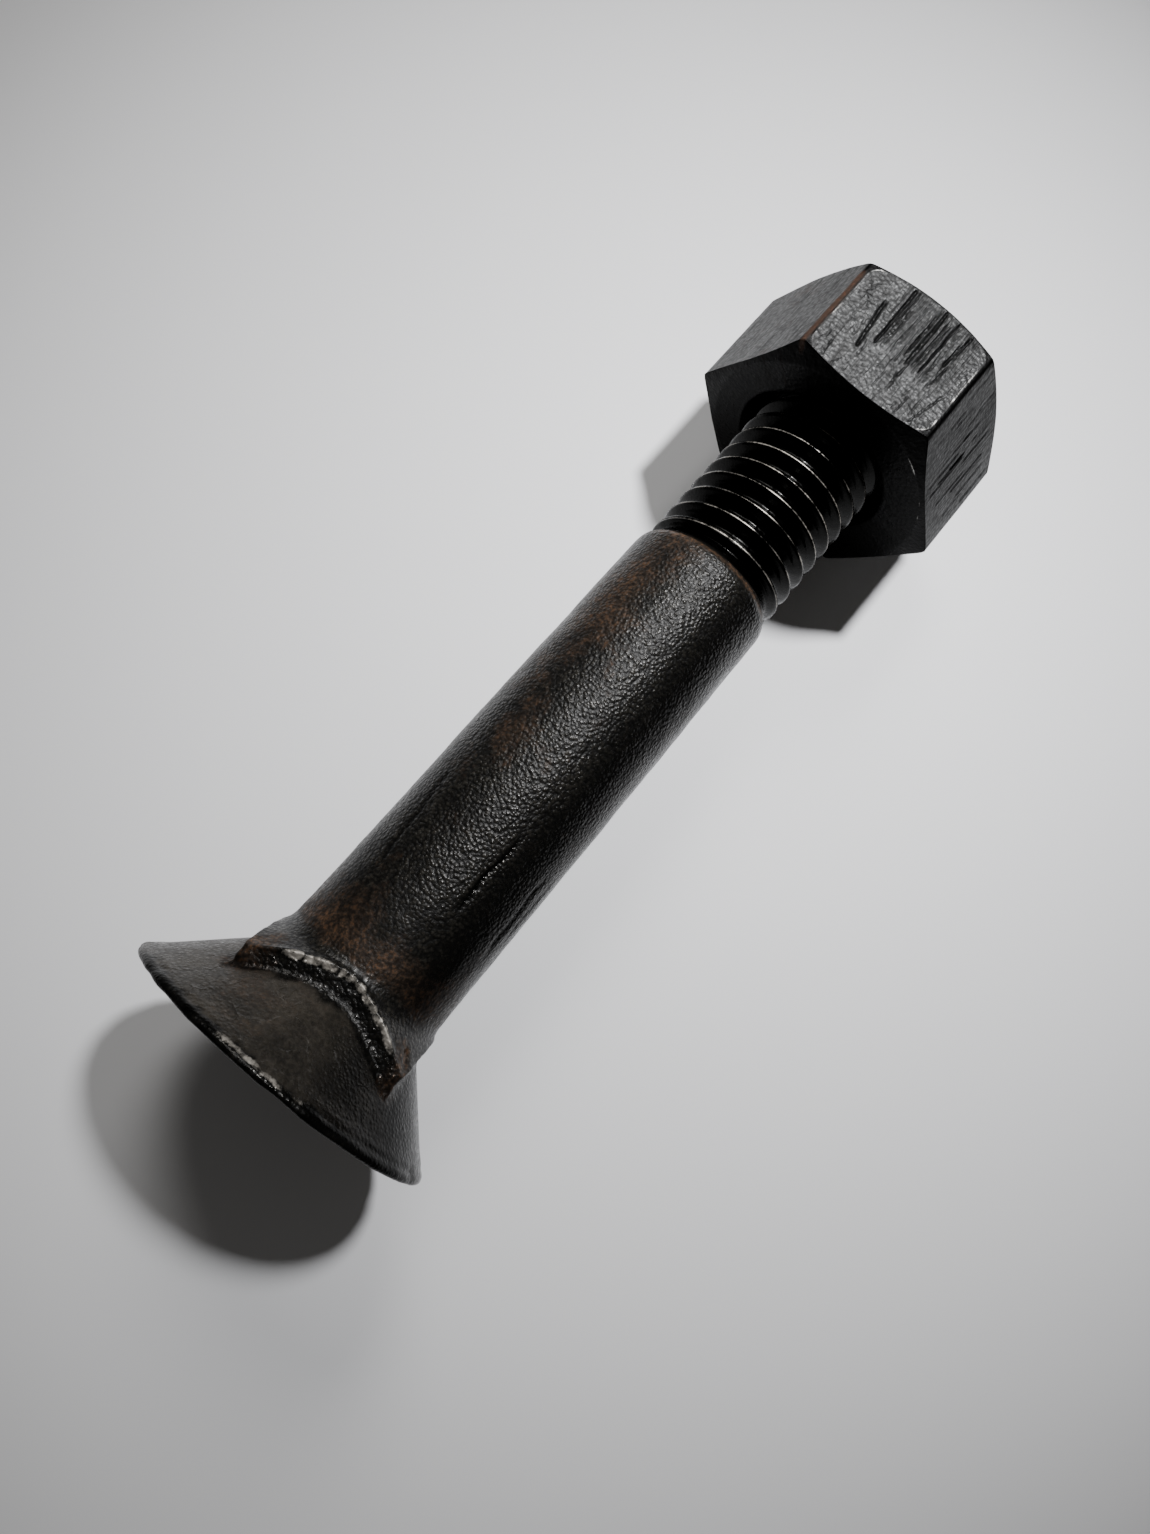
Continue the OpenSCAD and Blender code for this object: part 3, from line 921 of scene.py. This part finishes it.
def nutPush(s, r, turn):
    v = nutValues
    onFlat = smoothStep(0, 0.3, flatEdge(s, turn)) * (r > 13.2)
    onTop = onFlat * (np.abs(angleFrom(turn, 180)) < 31)
    push = v["unevenness"] * surfaceNoise(s, turn, 4.0, 14, 32)
    push += v["dimples"] * surfaceNoise(s, turn, 1.1, 14, 33)
    push = np.where(r < 9.5, 0, push - v["loss"])
    scored = smoothStep(5.5, 7.5, s - nutStart) * smoothStep(-3.5, -2.0, acrossTop(r, turn))
    crumbs = np.abs(surfaceNoise(s, turn, 0.4, 14, 36) + surfaceNoise(s, turn, 0.8, 14, 37))
    push -= v["crumbs"] * onTop * (1 - 0.75 * scored) * crumbs
    push -= gougeDepth(s, r, turn) * onFlat
    return np.minimum(push, 0.0)


def nutShift(s, r, turn):  # the hexagon isn't quite centred on its bore
    v = nutValues
    part = (r - v["mouthRadius"]) / (v["faceRadius"] - v["mouthRadius"])
    return v["shift"] * np.clip(part, 0, 1)


def nutMasks(s, r, turn):
    v = nutValues
    inside = flatEdge(s, turn)
    onFlat = smoothStep(-0.1, 0.06, inside) * (r > 13.0)
    top = 1 - smoothStep(27, 33, np.abs(angleFrom(turn, 180)))
    side = acrossTop(r, turn)
    rise = s - nutStart + 0.8 * ringNoise(turn, 0.7, 14, 38)
    dragged = (top * onFlat * smoothStep(4.8, 6.2, rise) * smoothStep(-4.2, -2.2, side)
               * (1 - smoothStep(5.2, 7, side)))

    # rubbed bright: the borders of the flats and a broken line round the near face
    wear = (onFlat * bump(inside, 0.12, 0.1) * (0.3 + 0.45 * top)
            * (0.6 + 0.5 * surfaceNoise(s, turn, 0.8, 14, 34)))
    faceLine = (0.6 * bump(r, v["faceRadius"] - 0.05, 0.1) * (s < nutStart + 0.2)
                * bump(angleFrom(turn, 225), 0, 50))
    wear += faceLine * np.maximum(0, 0.35 + 0.9 * ringNoise(turn, 1.2, 14, 39))

    # rust: one corner, specks on the chamfer beside it and a trace on the flats
    corner = angleFrom(turn, 30) % 60
    onCorner = bump(np.minimum(corner, 60 - corner), 0, 1.6) * (r > 13.4)
    line = (bump(angleFrom(turn, v["rustLineTurn"]), 0, v["rustLineWidth"]) * (r > 13.4)
            * smoothStep(0.3, 1.0, s - nutStart) * (1 - smoothStep(-3.4, -2.2, s - nutEnd)))
    specks = (surfaceNoise(s, turn, 0.6, 14, 35) > 0.55) * bump(angleFrom(turn, 135), 0, 22)
    rust = (v["rustLine"] * line + 0.2 * onCorner + 0.6 * (1 - onFlat) * (r > 9.6) * specks
            + 0.22 * bump(angleFrom(turn, 120), 0, 25))

    # the bore, chamfers, faces and gouges are oiled, and one flat gets painted shade
    oil = np.maximum.reduce([
        np.where(r < 9.6, 1.0, 0.97 * (1 - onFlat)) * (1 - line),
        # painted shade: the flat at 240 degrees darker and less reflective
        0.85 * onFlat * bump(angleFrom(turn, 240), 0, 24),
        np.clip(6 * gougeDepth(s, r, turn) * onFlat, 0, 0.85)])
    return {"wear": wear, "rust": rust, "grain": 0.3 + 0.7 * top * onFlat, "oil": oil,
            "drag": 0.16 + 0.2 * top * onFlat + 0.64 * dragged,
            "crackle": top * onFlat * (1 - dragged)}


def nutSteel(values):
    material, tree, lined, masks = startMaterial(
        "nutSteel", ("wear", "rust", "grain", "oil", "drag", "crackle"))
    wear, rust, grain, oil, dragged, crackle = masks
    pebble = useGroup(tree, steelGrain,
                      {"Vector": lined, "Grains per metre": values["grainsPerMetre"]})
    drag = useGroup(tree, dragMarks,
                    {"Vector": lined, "Marks per metre": 2200.0, "Length ratio": 0.05})
    cracks = useGroup(tree, crackleLines, {"Vector": lined})
    bare = useGroup(tree, wornEdge, {"Vector": lined, "Wear": wear})["Mask"]
    mixed = addTo(tree, times(tree, pebble["Tone"], 0.5), times(tree, drag["Height"], 0.5))
    tone = remap(tree, mixed, 0.33, 0.66, 0.0, 1.0)
    film = useGroup(tree, rustFilm,
                    {"Vector": lined, "Rust": rust, "Brown": values["brown"],
                     "Orange": values["orange"],
                     "Metal colour": mixColour(tree, tone, values["soot"], values["steel"])})
    rough = addTo(tree, remap(tree, tone, 0.0, 1.0, 0.5, 0.36), times(tree, film["Mask"], 0.2))
    rough = mathNode(tree, "SUBTRACT", rough, times(tree, oil, 0.1))
    height = addTo(tree, times(tree, pebble["Height"], times(tree, grain, 0.8)),
                   times(tree, drag["Height"], times(tree, dragged, 4.0)))
    height = addTo(tree, height, times(tree, cracks["Height"], crackle))
    finishSteel(tree, values, film["Color"], bare, oil, rough, height)
    return material


makePiece("nutBody", "nut", "nut",
          (nutSkin(), nutPush, nutMasks, nutShift), nutSteel(nutValues))
print("nut made")
